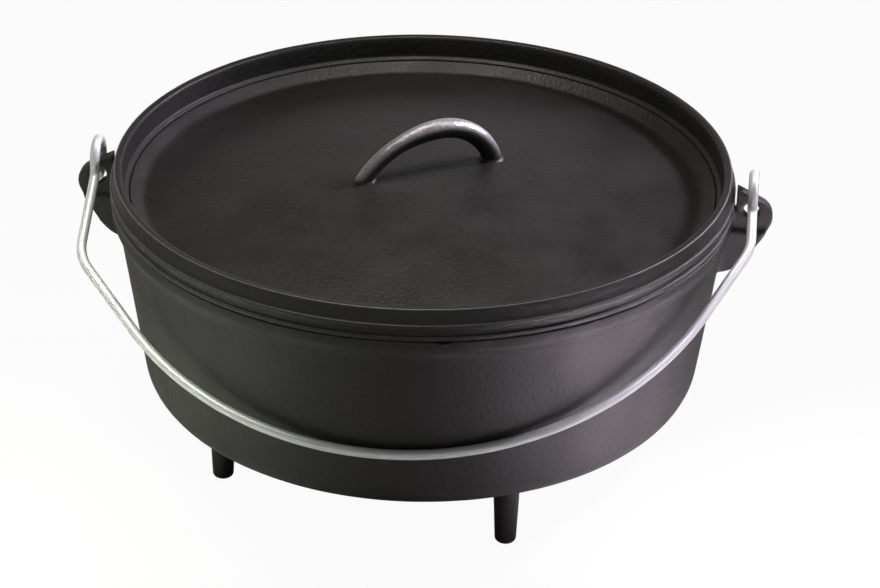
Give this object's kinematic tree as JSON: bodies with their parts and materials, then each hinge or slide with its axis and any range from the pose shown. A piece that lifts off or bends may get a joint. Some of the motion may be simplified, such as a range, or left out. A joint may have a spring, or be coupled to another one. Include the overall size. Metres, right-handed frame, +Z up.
{
  "type": "camp dutch oven",
  "caption": "Round cast iron camp oven on legs, with a flanged lid that carries coals inside a raised lip, and a wire bail that swings over it.",
  "frame": {"origin": "on the kettle's axis, in the plane of the leg tips", "axes": "+X through the ears along the bail's hinge, +Z up along the kettle's axis, and the bail hangs on the -Y side"},
  "size_m": [0.3674, 0.3276, 0.1893],
  "materials": {
    "kettle_iron": "sand cast, seasoned, satin",
    "lid_iron": "sand cast, seasoned, satin",
    "bail_wire": "bright zinc plate on drawn wire"
  },
  "bodies": {
    "kettle": {"kettle": "kettle_iron"},
    "lid": {"lid": "lid_iron"},
    "bail": {"bail": "bail_wire"}
  },
  "joints": [
    {"name": "bail_swing", "type": "hinge", "parent": "kettle", "child": "bail", "pos_m": [0, 0, 0.1586], "axis": [-1, 0, 0], "range_deg": [0, 233.1]},
    {"name": "lid_lift", "type": "slide", "parent": "kettle", "child": "lid", "axis": [0, 0, 1], "range_m": [0, 0.15]}
  ]
}
